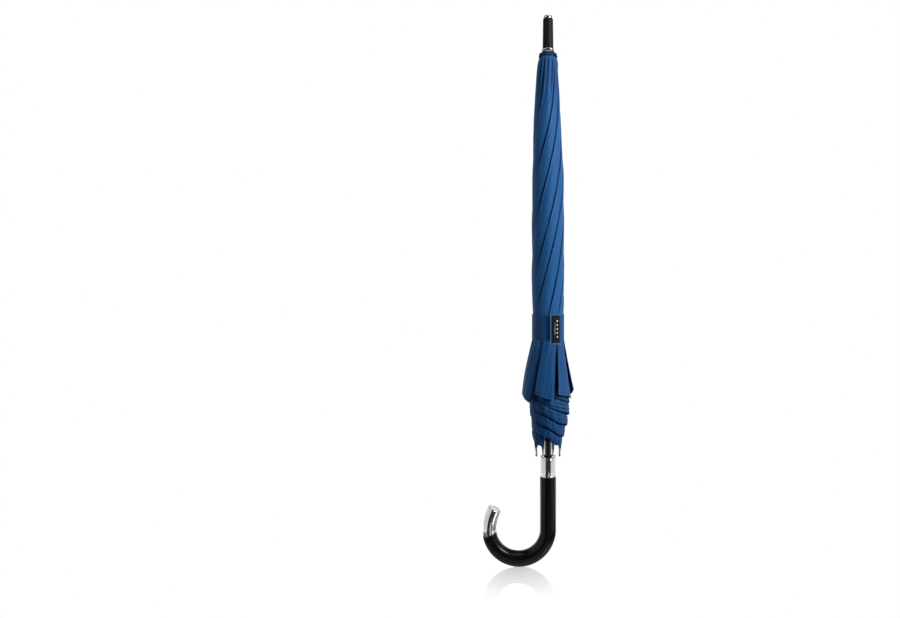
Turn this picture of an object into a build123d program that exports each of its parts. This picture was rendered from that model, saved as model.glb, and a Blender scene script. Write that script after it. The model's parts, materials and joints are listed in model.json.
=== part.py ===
from build123d import *
import os
from math import acos, asin, cos, radians, sin, tan

os.makedirs("parts", exist_ok=True)

# Furled stick umbrella with a crook handle. Millimetres and degrees.
# The shaft stands along +Z with the handle at the bottom. At these sizes the
# origin is on the shaft's axis at the middle of the straight grip. The handle
# hangs below the ribs' tips. The crook bends towards -X. Ribs are numbered anticlockwise, seen from above.

# ---------------------------------------------------------------- frame
rib_count = 8
rib_length = 632.0          # notch wire to the end of the rib tip
pivot_height = 707.0        # notch wire above the origin
pivot_radius = 9.5          # notch wire from the shaft's axis
tip_circle_radius = 20.0    # rib tips when furled
rib_tip_gap = 1.0           # rib's length, plumb from the wire, ends this far above the collar
open_angle = 66.0           # rib from the shaft, umbrella up
link_length = 265.0         # notch wire to rivet, and rivet to runner

rib_width = 3.4
rib_outer_height = 1.7      # rivet line to the rib's outer face
rib_inner_height = 1.3      # rivet line to the rib's open edge
rib_wall = 0.5
rib_eye_radius = 1.5
rib_eye_thickness = 1.5
rib_channel_start = 6.0     # where the folded channel begins below the eye
rib_tab_overlap = 2.5       # eye's tab runs this far into the channel

tip_length = 14.0
tip_stem_radius = 1.4
tip_ball_radius = 1.9
tip_plug_length = 16.0

stretcher_width = 1.8
stretcher_height = 2.0
stretcher_wall = 0.45
rivet_radius = 0.5
rivet_head_radius = 0.85
rivet_head_height = 0.35

# ---------------------------------------------------------------- shaft
shaft_radius = 5.2
shaft_wall = 0.9
shaft_in_grip = 60.0        # length of shaft held inside the grip
shaft_in_ferrule = 8.0

wire_radius = 0.6
runner_wire_radius = 0.45
hub_radius = 11.2           # over the teeth of the notch and the crown
hub_core_radius = 7.4
hub_slot_width = 2.4
notch_above = 3.0           # notch body above and below its wire
notch_below = 4.0

runner_length = 52.0
runner_radius = 7.4
runner_lip = 0.8            # foot of the runner stands out this far
runner_lip_height = 3.0
runner_clearance = 0.05
crown_half_height = 5.0
stop_ring_height = 2.5
stop_ring_radius = 6.6
stop_ring_gap = 0.3         # to the runner at the top of its travel

catch_width = 2.4
catch_height = 12.0
catch_reach = 6.45          # nose of a catch from the shaft's axis
catch_depth = 5.0
catch_travel = 1.3
catch_step = 2.0            # square shoulder at the top of the nose
catch_gap = 0.25

# ------------------------------------------------------- cap and ferrule
cap_rim_radius = 14.5
cap_rim_rise = 3.0          # rim above the notch wire
cap_top_radius = 10.0
cap_height = 6.0
cap_wall = 0.9
ring_radius = 10.5
ring_height = 2.2
ferrule_length = 50.0
ferrule_bottom_radius = 9.0
ferrule_top_radius = 7.9
ferrule_tip_radius = 6.4
ferrule_chamfer = 1.2
ferrule_tip_straight = 3.0
ferrule_tip_dome = 1.8
tip_stud_radius = 3.0
tip_stud_length = 8.0
tip_stud_end_gap = 0.5

# --------------------------------------------------------------- handle
grip_radius = 12.7
grip_half_length = 42.0     # straight part, from its middle both ways
crook_radius = 46.6         # centre line of the bend
crook_sweep = 185.0
crook_end_radius = 75.0     # centre line of the slack curve at the end
crook_end_sweep = 23.0
crook_arm_radius = 10.9     # tube where the tight bend ends
crook_tip_radius = 11.2
cap_joint_tilt = 22.0       # slant of the seam between crook and end cap
seam_step_back = 15.0       # turn of the seam before the tight bend ends
seam_shift = 0.4            # seam's middle outside the centre line
end_cap_wall = 1.2
end_cap_clearance = 0.05
collar_radius = 11.9
collar_length = 32.0
collar_cup_depth = 7.0
collar_wall = 1.0
liner_thickness = 1.5
liner_drop = 0.8            # liner's rim below the collar's rim
seat_clearance = 0.02

# --------------------------------------------------------------- canopy
cloth_gap = 0.9             # rib's outer face to the cloth
cloth_side_gap = 0.8        # angle left free at each side of a half gore
cloth_top_drop = 14.0       # top of a half gore below the notch wire
canopy_radius = 24.8        # over the furled cloth below half height
skirt_radius = 36.0         # over the loose pleats
skirt_hem_rise = 91.0       # this and the other rises are from the collar's rim
skirt_start_rise = 172.0
skirt_bend_rise = 146.0
skirt_bend_radius = 29.0
lap_hem_rise = 18.0
lap_radius = 28.0
lap_foot_radius = 22.6
lap_overlap = 1.0

strap_rise = 180.0
strap_width = 45.0
strap_gap = 0.4
strap_thickness = 0.8
tab_start = -83.6           # bearing of the tab's free edge, from +X
tab_end = -38.0
tab_gap = 0.3
tab_thickness = 0.7
tab_drop = 1.5
label_start = -77.0
label_end = -47.0
label_thickness = 0.4
label_margin = 2.6

# ------------------------------------------------------ worked-out sizes
rib_pitch = 360 / rib_count
half_pitch = rib_pitch / 2
rest_angle = asin((tip_circle_radius - pivot_radius) / rib_length)
open_radians = radians(open_angle)
runner_height = pivot_height - 2 * link_length * cos(rest_angle)
runner_travel = 2 * link_length * (cos(rest_angle) - cos(open_radians))
collar_top = pivot_height - rib_length - rib_tip_gap
grip_top = collar_top - collar_length
grip_foot = grip_top - 2 * grip_half_length
shaft_bottom = grip_top - shaft_in_grip
skirt_hem_height = collar_top + skirt_hem_rise
skirt_start_height = collar_top + skirt_start_rise
skirt_bend_height = collar_top + skirt_bend_rise
lap_hem_height = collar_top + lap_hem_rise
strap_bottom = collar_top + strap_rise
notch_top = pivot_height + notch_above
cap_rim = pivot_height + cap_rim_rise
cap_top = cap_rim + cap_height
ferrule_bottom = cap_top + ring_height
shaft_top = ferrule_bottom + shaft_in_ferrule
ferrule_top = ferrule_bottom + ferrule_length
runner_bore = shaft_radius + runner_clearance
crown_bottom = runner_height - crown_half_height
crown_top = runner_height + crown_half_height
bottom_catch_height = crown_bottom - runner_length / 2
top_catch_height = bottom_catch_height + runner_travel
strap_inner = canopy_radius + strap_gap
strap_outer = strap_inner + strap_thickness
tab_inner = strap_outer + tab_gap
tab_outer = tab_inner + tab_thickness


def bearing_of_rib(index):
    return half_pitch + index * rib_pitch


def radial(bearing):
    return Vector(cos(radians(bearing)), sin(radians(bearing)), 0)


def upright_plane(bearing):
    # local x runs away from the shaft and local y runs up
    out = radial(bearing)
    return Plane(origin=(0, 0, 0), x_dir=out, z_dir=out.cross(Vector(0, 0, 1)))


def rib_pivot(index):
    return radial(bearing_of_rib(index)) * pivot_radius + Vector(0, 0, pivot_height)


def rib_direction(index):
    return radial(bearing_of_rib(index)) * sin(rest_angle) - Vector(0, 0, cos(rest_angle))


def stretcher_direction(index):
    return radial(bearing_of_rib(index)) * -sin(rest_angle) - Vector(0, 0, cos(rest_angle))


def bar_plane(origin, direction, index, distance=0.0):
    # square to a bar: local x points outwards, local y along the hinge pins
    out = radial(bearing_of_rib(index))
    face = (out - direction * out.dot(direction)).normalized()
    return Plane(origin=origin + direction * distance, x_dir=face, z_dir=direction)


def side_plane(origin, direction, index):
    # along a bar: local x runs down the bar, local z along the hinge pins
    out = radial(bearing_of_rib(index))
    face = (out - direction * out.dot(direction)).normalized()
    return Plane(origin=origin, x_dir=direction, z_dir=direction.cross(face))


def finish(part, label):
    part.label = label
    export_step(part, f"parts/{label}.step")


# ================================================================ shaft
def catch_slot(height):
    # opening in the shaft for a catch that faces -Y
    with BuildSketch(Plane.XZ.offset(shaft_radius - shaft_wall - 1)) as opening:
        with Locations((0, height)):
            Rectangle(catch_width + 2 * catch_gap, catch_height + 2 * catch_gap)
    extrude(opening.sketch, amount=shaft_wall + 2, mode=Mode.SUBTRACT)


with BuildPart() as shaft_tube:
    with BuildSketch(Plane.XY.offset(shaft_bottom)):
        Circle(shaft_radius)
        Circle(shaft_radius - shaft_wall, mode=Mode.SUBTRACT)
    extrude(amount=shaft_top - shaft_bottom)
    catch_slot(bottom_catch_height)
    catch_slot(top_catch_height)
finish(shaft_tube.part, "shaft_tube")


def make_catch(height, label):
    # leaf catch: square at the top, sloping nose at the bottom
    back = catch_reach - catch_depth
    low = height - catch_height / 2
    high = height + catch_height / 2
    with BuildPart() as catch:
        with BuildSketch(upright_plane(-90)):
            Polygon(
                (back, low),
                (shaft_radius - shaft_wall, low),
                (catch_reach, high - catch_step),
                (catch_reach, high),
                (back, high),
                align=None,
            )
        extrude(amount=catch_width / 2, both=True)
    finish(catch.part, label)


make_catch(bottom_catch_height, "bottom_catch")
make_catch(top_catch_height, "top_catch")

with BuildPart() as stop_ring:
    with BuildSketch(Plane.XY.offset(crown_top + runner_travel + stop_ring_gap)):
        Circle(stop_ring_radius)
        Circle(shaft_radius + seat_clearance, mode=Mode.SUBTRACT)
    extrude(amount=stop_ring_height)
finish(stop_ring.part, "stop_ring")


# ============================================================== the hubs
def ring_of_wire(height, apothem, radius, label):
    # octagon of round wire: one straight side on each hinge axis
    corner = apothem / cos(radians(half_pitch))
    path_points = []
    for index in range(rib_count):
        out = radial(index * rib_pitch)
        path_points.append((out.X * corner, out.Y * corner, height))
    start = radial(half_pitch) * apothem + Vector(0, 0, height)
    along = Vector(*path_points[1]) - Vector(*path_points[0])
    with BuildPart() as wire:
        with BuildLine():
            Polyline(start, *path_points[1:], path_points[0], start)
        with BuildSketch(Plane(origin=start, z_dir=along)):
            Circle(radius)
        sweep(transition=Transition.RIGHT)
    finish(wire.part, label)


def slotted_hub(bottom, top, wire_height, groove_apothem, groove_height, bore):
    # hub with a through slot at each rib and an outward groove for its wire
    with BuildSketch(Plane.XY.offset(bottom)) as body:
        Circle(hub_radius)
        Circle(bore, mode=Mode.SUBTRACT)
        with PolarLocations(hub_core_radius + hub_radius / 2, rib_count, start_angle=half_pitch):
            Rectangle(hub_radius, hub_slot_width, mode=Mode.SUBTRACT)
    extrude(body.sketch, amount=top - bottom)
    with BuildSketch(Plane.XY.offset(wire_height - groove_height / 2)) as groove:
        Circle(hub_radius + 1)
        RegularPolygon(groove_apothem, rib_count, major_radius=False, mode=Mode.SUBTRACT)
    extrude(groove.sketch, amount=groove_height, mode=Mode.SUBTRACT)


with BuildPart() as top_notch:
    slotted_hub(
        pivot_height - notch_below,
        notch_top,
        pivot_height,
        pivot_radius - wire_radius - seat_clearance,
        2 * (wire_radius + seat_clearance),
        shaft_radius + seat_clearance,
    )
finish(top_notch.part, "top_notch")
ring_of_wire(pivot_height, pivot_radius, wire_radius, "notch_wire")

runner_wire_apothem = hub_core_radius + seat_clearance + runner_wire_radius


def catch_groove(bottom, top):
    # keyway that lets the runner pass over both catches
    with BuildSketch(Plane.XY.offset(bottom)) as keyway:
        with Locations((0, -(catch_reach + catch_gap) / 2)):
            Rectangle(catch_width + 2 * catch_gap, catch_reach + catch_gap)
    extrude(keyway.sketch, amount=top - bottom, mode=Mode.SUBTRACT)


with BuildPart() as runner_crown:
    slotted_hub(
        crown_bottom,
        crown_top,
        runner_height,
        hub_core_radius,
        2 * (runner_wire_radius + seat_clearance),
        runner_bore,
    )
    catch_groove(crown_bottom, crown_top)
finish(runner_crown.part, "runner_crown")
ring_of_wire(runner_height, runner_wire_apothem, runner_wire_radius, "runner_wire")

with BuildPart() as runner_sleeve:
    with BuildSketch(Plane.XY.offset(crown_bottom - runner_length)):
        Circle(runner_radius)
        Circle(runner_bore, mode=Mode.SUBTRACT)
    extrude(amount=runner_length)
    with BuildSketch(Plane.XY.offset(crown_bottom - runner_length)):
        Circle(runner_radius + runner_lip)
        Circle(runner_bore, mode=Mode.SUBTRACT)
    extrude(amount=runner_lip_height)
    catch_groove(crown_bottom - runner_length, crown_bottom)
finish(runner_sleeve.part, "runner_sleeve")


# ======================================================= cap and ferrule
with BuildPart() as canopy_cap:
    with BuildSketch(Plane.XZ):
        Polygon(
            (shaft_radius + seat_clearance, notch_top),
            (hub_core_radius, notch_top),
            (hub_core_radius, cap_top - 2 * cap_wall),
            (cap_top_radius - cap_wall, cap_top - 2 * cap_wall),
            (cap_rim_radius - 1.6 * cap_wall, cap_rim),
            (cap_rim_radius, cap_rim),
            (cap_rim_radius, cap_rim + cap_wall),
            (cap_top_radius, cap_top),
            (shaft_radius + seat_clearance, cap_top),
            align=None,
        )
    revolve(axis=Axis.Z)
finish(canopy_cap.part, "canopy_cap")

with BuildPart() as ferrule_ring:
    with BuildSketch(Plane.XY.offset(cap_top)):
        Circle(ring_radius)
        Circle(shaft_radius + seat_clearance, mode=Mode.SUBTRACT)
    extrude(amount=ring_height)
    outer_edges = ferrule_ring.edges().filter_by(GeomType.CIRCLE).group_by(SortBy.RADIUS)[-1]
    fillet(outer_edges, ring_height * 0.4)
finish(ferrule_ring.part, "ferrule_ring")

with BuildPart() as ferrule:
    with BuildSketch(Plane.XZ):
        Polygon(
            (0, ferrule_bottom),
            (ferrule_bottom_radius, ferrule_bottom),
            (ferrule_top_radius, ferrule_top - ferrule_chamfer),
            (ferrule_top_radius - ferrule_chamfer, ferrule_top),
            (0, ferrule_top),
            align=None,
        )
    revolve(axis=Axis.Z)
    with BuildSketch(Plane.XY.offset(ferrule_bottom)):
        Circle(shaft_radius + seat_clearance)
    extrude(amount=shaft_in_ferrule, mode=Mode.SUBTRACT)
    with BuildSketch(Plane.XY.offset(ferrule_top - tip_stud_length)):
        Circle(tip_stud_radius + seat_clearance)
    extrude(amount=tip_stud_length, mode=Mode.SUBTRACT)
finish(ferrule.part, "ferrule")

dome_radius = (ferrule_tip_radius**2 + ferrule_tip_dome**2) / (2 * ferrule_tip_dome)

with BuildPart() as ferrule_tip:
    stud_foot = ferrule_top - tip_stud_length + tip_stud_end_gap
    shoulder = ferrule_top + ferrule_tip_straight
    summit = shoulder + ferrule_tip_dome
    with BuildSketch(Plane.XZ):
        with BuildLine():
            Polyline(
                (0, stud_foot),
                (tip_stud_radius, stud_foot),
                (tip_stud_radius, ferrule_top),
                (ferrule_tip_radius, ferrule_top),
                (ferrule_tip_radius, shoulder),
            )
            RadiusArc((ferrule_tip_radius, shoulder), (0, summit), -dome_radius)
            Line((0, summit), (0, stud_foot))
        make_face()
    revolve(axis=Axis.Z)
finish(ferrule_tip.part, "ferrule_tip")


# =============================================================== handle
def crook_station(turn):
    # point, heading and tube radius on the crook's centre line; turn in degrees
    tight = min(turn, crook_sweep)
    slack = max(0.0, turn - crook_sweep)
    centre = Vector(-crook_radius, 0, grip_foot)
    arm = radial_xz(-tight)
    point = centre + arm * crook_radius
    slack_centre = point - arm * crook_end_radius
    point = slack_centre + radial_xz(-tight - slack) * crook_end_radius
    heading = radial_xz(-90 - turn)
    if turn <= crook_sweep:
        share = (turn / crook_sweep) ** 2
        radius = grip_radius + (crook_arm_radius - grip_radius) * share
    else:
        share = slack / crook_end_sweep
        radius = crook_arm_radius + (crook_tip_radius - crook_arm_radius) * share
    return point, heading, radius


def radial_xz(angle):
    return Vector(cos(radians(angle)), 0, sin(radians(angle)))


def crook_rings(turns, inset):
    # round sections of the crook at the stations, smaller all round by the inset
    sections = []
    for turn in turns:
        point, heading, radius = crook_station(turn)
        with BuildSketch(Plane(origin=point, x_dir=(0, 1, 0), z_dir=heading)) as section:
            Circle(radius - inset)
        sections.append(section.sketch)
    return sections


last_turn = crook_sweep + crook_end_sweep
bend_turns = [0, 20, 45, 70, 95, 120, 145, 165, crook_sweep, crook_sweep + 7, crook_sweep + 15, last_turn]
seam_point = crook_station(crook_sweep - seam_step_back)[0] - Vector(seam_shift, 0, 0)
seam_tilt = radians(cap_joint_tilt)
seam_plane = Plane(origin=seam_point, x_dir=(0, 1, 0), z_dir=(-sin(seam_tilt), 0, cos(seam_tilt)))
cap_turns = [crook_sweep - 35, crook_sweep - 17, crook_sweep, crook_sweep + 7, crook_sweep + 15, last_turn]

seam_block_radius = 45.0
seam_block_depth = 80.0


def seam_block():
    # disc on the slanted seam that covers the whole arm of the crook
    with BuildSketch(seam_plane) as block:
        Circle(seam_block_radius)
    return block.sketch


with BuildPart() as handle_grip:
    with BuildSketch(Plane.XY.offset(grip_foot)):
        Circle(grip_radius)
    extrude(amount=2 * grip_half_length)
    loft(crook_rings(bend_turns, 0))
    extrude(seam_block(), amount=seam_block_depth, mode=Mode.SUBTRACT)
    loft(crook_rings(cap_turns[:-1], end_cap_wall + end_cap_clearance))
    with BuildSketch(Plane.XY.offset(shaft_bottom)):
        Circle(shaft_radius + seat_clearance)
    extrude(amount=grip_top - shaft_bottom, mode=Mode.SUBTRACT)
finish(handle_grip.part, "handle_grip")

with BuildPart() as crook_end_cap:
    loft(crook_rings(cap_turns, 0))
    loft(crook_rings(cap_turns[:-1], end_cap_wall), mode=Mode.SUBTRACT)
    extrude(seam_block(), amount=-seam_block_depth, mode=Mode.SUBTRACT)
finish(crook_end_cap.part, "crook_end_cap")

with BuildPart() as handle_collar:
    with BuildSketch(Plane.XZ):
        Polygon(
            (shaft_radius + seat_clearance, grip_top),
            (collar_radius, grip_top),
            (collar_radius, collar_top),
            (collar_radius - collar_wall, collar_top),
            (collar_radius - collar_wall, collar_top - collar_cup_depth),
            (shaft_radius + seat_clearance, collar_top - collar_cup_depth),
            align=None,
        )
    revolve(axis=Axis.Z)
finish(handle_collar.part, "handle_collar")

liner_outer = collar_radius - collar_wall - seat_clearance

with BuildPart() as collar_liner:
    with BuildSketch(Plane.XY.offset(collar_top - collar_cup_depth)):
        Circle(liner_outer)
        Circle(liner_outer - liner_thickness, mode=Mode.SUBTRACT)
    extrude(amount=collar_cup_depth - liner_drop)
finish(collar_liner.part, "collar_liner")


# ================================================= ribs, tips, stretchers
def make_rib(index):
    pivot = rib_pivot(index)
    down = rib_direction(index)
    channel_end = rib_length - tip_length
    with BuildPart() as rib:
        with BuildSketch(bar_plane(pivot, down, index, rib_channel_start)):
            with Locations(((rib_outer_height - rib_inner_height) / 2, 0)):
                Rectangle(rib_outer_height + rib_inner_height, rib_width)
            with Locations(((rib_outer_height - rib_inner_height) / 2 - rib_wall, 0)):
                Rectangle(
                    rib_outer_height + rib_inner_height,
                    rib_width - 2 * rib_wall,
                    mode=Mode.SUBTRACT,
                )
        extrude(amount=channel_end - rib_channel_start)
        with BuildSketch(side_plane(pivot, down, index)):
            Circle(rib_eye_radius)
            with Locations(((rib_channel_start + rib_tab_overlap) / 2, 0)):
                Rectangle(rib_channel_start + rib_tab_overlap, 2 * rib_eye_radius)
        extrude(amount=rib_eye_thickness / 2, both=True)
        with BuildSketch(side_plane(pivot, down, index)):
            Circle(wire_radius + runner_clearance)
            with Locations((link_length, 0)):
                Circle(rivet_radius + runner_clearance)
        extrude(amount=rib_width, both=True, mode=Mode.SUBTRACT)
    finish(rib.part, f"rib_{index + 1}")


def make_rib_tip(index):
    pivot = rib_pivot(index)
    down = rib_direction(index)
    stem_start = rib_length - tip_length
    ball_centre = rib_length - tip_ball_radius
    with BuildPart() as tip:
        with BuildSketch(bar_plane(pivot, down, index, stem_start - tip_plug_length)):
            Circle(rib_width / 2 - rib_wall - seat_clearance)
        extrude(amount=tip_plug_length)
        with BuildSketch(bar_plane(pivot, down, index, stem_start)):
            Circle(tip_stem_radius)
        extrude(amount=ball_centre - stem_start)
        with Locations(pivot + down * ball_centre):
            Sphere(tip_ball_radius)
    finish(tip.part, f"rib_tip_{index + 1}")


def make_stretcher(index):
    rivet = rib_pivot(index) + rib_direction(index) * link_length
    down = stretcher_direction(index)
    end_radius = stretcher_height / 2
    hollow_start = 2 * stretcher_height
    with BuildPart() as stretcher:
        with BuildSketch(side_plane(rivet, down, index)):
            with Locations((link_length / 2, 0)):
                SlotCenterToCenter(link_length, stretcher_height)
        extrude(amount=stretcher_width / 2, both=True)
        with BuildSketch(bar_plane(rivet, down, index, hollow_start)):
            with Locations((stretcher_wall, 0)):
                Rectangle(
                    stretcher_height,
                    stretcher_width - 2 * stretcher_wall,
                )
        extrude(amount=link_length - 2 * hollow_start, mode=Mode.SUBTRACT)
        with BuildSketch(side_plane(rivet, down, index)):
            Circle(rivet_radius)
        head_start = rib_width / 2 + runner_clearance
        extrude(amount=head_start + rivet_head_height, both=True)
        for side in (-1, 1):
            with BuildSketch(side_plane(rivet, down, index).offset(side * head_start)):
                Circle(rivet_head_radius)
            extrude(amount=side * rivet_head_height)
    finish(stretcher.part, f"stretcher_{index + 1}")


for rib_index in range(rib_count):
    make_rib(rib_index)
    make_rib_tip(rib_index)
    make_stretcher(rib_index)


# =============================================================== canopy
def rib_face_radius(height):
    # outer face of a furled rib at a height
    return pivot_radius + (pivot_height - height) * tan(rest_angle) + rib_outer_height


def cloth_inside(height):
    return rib_face_radius(height) + cloth_gap


cloth_top = pivot_height - cloth_top_drop
shoulder_radius = 20.2      # over the cloth where the narrow neck ends
shoulder_drop = 71.0        # neck's end below the notch wire
full_drop = 307.0           # full girth is reached this far below the wire
neck_radius = 16.2
furled_outline = [
    (neck_radius, cloth_top),
    (shoulder_radius, pivot_height - shoulder_drop),
    (shoulder_radius + 0.57 * (canopy_radius - shoulder_radius), pivot_height - 2 * shoulder_drop),
    (shoulder_radius + 0.89 * (canopy_radius - shoulder_radius), pivot_height - 3 * shoulder_drop),
    (canopy_radius, pivot_height - full_drop),
    (canopy_radius, skirt_start_height),
    (skirt_bend_radius, skirt_bend_height),
    (skirt_radius, skirt_hem_height),
]


def make_half_gore(index, side):
    # half of a gore, from its rib (bearing) to the gore's middle
    bearing = bearing_of_rib(index) + side * cloth_side_gap
    sweep_angle = half_pitch - 2 * cloth_side_gap
    with BuildPart() as gore:
        with BuildSketch(upright_plane(bearing)):
            Polygon(
                *furled_outline,
                (cloth_inside(skirt_hem_height), skirt_hem_height),
                (cloth_inside(cloth_top), cloth_top),
                align=None,
            )
        revolve(axis=Axis.Z, revolution_arc=side * sweep_angle)
        with BuildSketch(upright_plane(bearing)):
            Polygon(
                (cloth_inside(skirt_hem_height), skirt_hem_height + lap_overlap),
                (lap_radius, skirt_hem_height + lap_overlap),
                (lap_foot_radius, lap_hem_height),
                (cloth_inside(lap_hem_height), lap_hem_height),
                align=None,
            )
        revolve(axis=Axis.Z, revolution_arc=side * sweep_angle / 2)
    name = "left" if side > 0 else "right"
    finish(gore.part, f"canopy_{index + 1}_{name}")


for rib_index in range(rib_count):
    make_half_gore(rib_index, 1)
    make_half_gore(rib_index, -1)


def band(inner, outer, start, end, bottom, top):
    # upright curved plate between two bearings
    with BuildSketch(upright_plane(start)) as section:
        Polygon((inner, bottom), (outer, bottom), (outer, top), (inner, top), align=None)
    revolve(section.sketch, axis=Axis.Z, revolution_arc=end - start)


with BuildPart() as tie_strap:
    with BuildSketch(Plane.XY.offset(strap_bottom)):
        Circle(strap_outer)
        Circle(strap_inner, mode=Mode.SUBTRACT)
    extrude(amount=strap_width)
finish(tie_strap.part, "tie_strap")

tab_bottom = strap_bottom - tab_drop
tab_top = strap_bottom + strap_width

with BuildPart() as strap_tab:
    band(tab_inner, tab_outer, tab_start, tab_end, tab_bottom, tab_top)
finish(strap_tab.part, "strap_tab")

with BuildPart() as strap_label:
    band(
        tab_outer,
        tab_outer + label_thickness,
        label_start,
        label_end,
        tab_bottom + label_margin,
        tab_top - label_margin / 2,
    )
finish(strap_label.part, "strap_label")

print(f"runner rest height {runner_height:.3f}, travel {runner_travel:.3f}")
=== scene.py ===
import json
from math import cos, hypot, pi, radians, sin, sqrt

import bpy
import numpy as np
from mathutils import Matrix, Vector


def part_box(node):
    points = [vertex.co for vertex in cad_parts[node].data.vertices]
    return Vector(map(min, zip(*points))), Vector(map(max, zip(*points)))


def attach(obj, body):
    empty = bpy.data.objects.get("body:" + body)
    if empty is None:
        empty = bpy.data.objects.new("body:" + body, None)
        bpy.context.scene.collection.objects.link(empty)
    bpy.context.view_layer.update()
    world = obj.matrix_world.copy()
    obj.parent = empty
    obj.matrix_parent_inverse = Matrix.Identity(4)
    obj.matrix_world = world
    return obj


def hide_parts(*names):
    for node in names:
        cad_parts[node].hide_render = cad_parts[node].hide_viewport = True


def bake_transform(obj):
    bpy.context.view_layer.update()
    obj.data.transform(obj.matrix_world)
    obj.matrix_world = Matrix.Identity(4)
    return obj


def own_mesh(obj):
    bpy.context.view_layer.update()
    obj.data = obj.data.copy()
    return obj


# Furled stick umbrella. Sizes are millimetres until a mesh is made, then metres.
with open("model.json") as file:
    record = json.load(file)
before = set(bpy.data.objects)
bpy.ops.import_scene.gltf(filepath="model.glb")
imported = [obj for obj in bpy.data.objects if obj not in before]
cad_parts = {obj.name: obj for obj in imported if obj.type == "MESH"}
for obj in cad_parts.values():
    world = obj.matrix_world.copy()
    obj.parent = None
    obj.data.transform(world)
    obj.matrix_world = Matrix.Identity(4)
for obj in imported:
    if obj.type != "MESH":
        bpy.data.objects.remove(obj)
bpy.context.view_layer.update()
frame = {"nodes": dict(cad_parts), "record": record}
record = frame["record"]
mm = 0.001

ribCount = 8
pitch = 2 * pi / ribCount
halfPitch = pitch / 2


def nodeLow(node, axis):
    # lower and upper side of a node's box along an axis, in millimetres
    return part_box(node)[0][axis] / mm


def nodeHigh(node, axis):
    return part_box(node)[1][axis] / mm


# heights and radii read from the frame
collarFoot = nodeLow("handle_collar", 2)
collarTop = nodeHigh("handle_collar", 2)
collarRadius = nodeHigh("handle_collar", 0)
gripRadius = nodeHigh("handle_grip", 0)
strapFoot = nodeLow("tie_strap", 2)
strapTop = nodeHigh("tie_strap", 2)
ferruleFoot = nodeLow("ferrule", 2)
ferruleTop = nodeHigh("ferrule", 2)
capFoot = nodeLow("canopy_cap", 2)
capTop = nodeHigh("canopy_cap", 2)
crookFoot = nodeLow("handle_grip", 2)


def ribBearing(index):
    # ribs stand half a pitch off the X axis
    return halfPitch + index * pitch


# camera
cameraSettings = {
    "distance": 1055.0,
    "height": 332.6,
    "focal": 26.6,
    "shiftX": -0.1089,
    "shiftY": -0.0178,
}


def makeCamera(s):
    data = bpy.data.cameras.new("camera")
    camera = bpy.data.objects.new("camera", data)
    bpy.context.collection.objects.link(camera)
    camera.location = (0, -s["distance"] * mm, s["height"] * mm)
    camera.rotation_euler = (pi / 2, 0, 0)
    data.lens = s["focal"]
    data.sensor_width = 36
    data.shift_x = s["shiftX"]
    data.shift_y = s["shiftY"]
    data.clip_start = 0.01
    bpy.context.scene.camera = camera


makeCamera(cameraSettings)


# mesh helpers
def smoothStep(low, high, x):
    # 0 below low, 1 above high, a cubic ease between
    t = np.clip((x - low) / (high - low), 0, 1)
    return t * t * (3 - 2 * t)


def easeTable(x, table):
    # smooth curve through (x, value) pairs, monotone cubic between neighbours
    xs = np.array([p[0] for p in table], float)
    ys = np.array([p[1] for p in table], float)
    order = np.argsort(xs)
    xs, ys = xs[order], ys[order]
    step = np.diff(xs)
    rise = np.diff(ys) / step
    slope = np.concatenate([[rise[0]], (rise[:-1] + rise[1:]) / 2, [rise[-1]]])
    turns = np.concatenate([[False], rise[:-1] * rise[1:] <= 0, [False]])
    slope[turns] = 0
    x = np.clip(x, xs[0], xs[-1])
    i = np.clip(np.searchsorted(xs, x) - 1, 0, len(step) - 1)
    t = (x - xs[i]) / step[i]
    a = (1 + 2 * t) * (1 - t) ** 2 * ys[i] + t * t * (3 - 2 * t) * ys[i + 1]
    b = (t * (1 - t) ** 2 * slope[i] + t * t * (t - 1) * slope[i + 1]) * step[i]
    return a + b


def meshFromGrid(name, points, wrap=False, flip=False, uv=None, values=None, material=None):
    # points is rows x columns x 3 in millimetres; neighbours become quads
    rows, cols = points.shape[:2]
    index = np.arange(rows * cols).reshape(rows, cols)
    if wrap:
        index = np.concatenate([index, index[:, :1]], axis=1)
    quads = np.stack([index[:-1, :-1], index[:-1, 1:], index[1:, 1:], index[1:, :-1]], axis=-1)
    if flip:
        quads = quads[..., ::-1]
    quads = quads.reshape(-1, 4)
    mesh = bpy.data.meshes.new(name)
    mesh.vertices.add(rows * cols)
    mesh.vertices.foreach_set("co", (points.reshape(-1, 3) * mm).astype(np.float32).ravel())
    mesh.loops.add(quads.size)
    mesh.loops.foreach_set("vertex_index", quads.astype(np.int32).ravel())
    mesh.polygons.add(len(quads))
    mesh.polygons.foreach_set("loop_start", np.arange(0, quads.size, 4, dtype=np.int32))
    mesh.update(calc_edges=True)
    mesh.polygons.foreach_set("use_smooth", np.ones(len(quads), bool))
    if uv is not None:
        layer = mesh.uv_layers.new(name="cloth")
        flat = uv.reshape(-1, 2)
        layer.data.foreach_set("uv", flat[quads.ravel()].astype(np.float32).ravel())
    for key, value in (values or {}).items():
        attribute = mesh.attributes.new(key, "FLOAT", "POINT")
        attribute.data.foreach_set("value", value.astype(np.float32).ravel())
    mesh.validate()
    piece = bpy.data.objects.new(name, mesh)
    bpy.context.collection.objects.link(piece)
    if material:
        mesh.materials.append(material)
    return piece


def thicken(piece, thickness, offset=-1.0):
    # gives an open sheet its thickness
    solid = piece.modifiers.new("thickness", "SOLIDIFY")
    solid.thickness = thickness * mm
    solid.offset = offset
    solid.use_even_offset = False


def aroundAxis(radius, bearing, height):
    # cylinder to x, y, z: radius times the bearing's cosine and sine, and the height
    return np.stack([radius * np.cos(bearing), radius * np.sin(bearing), height + 0 * bearing], axis=-1)


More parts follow.
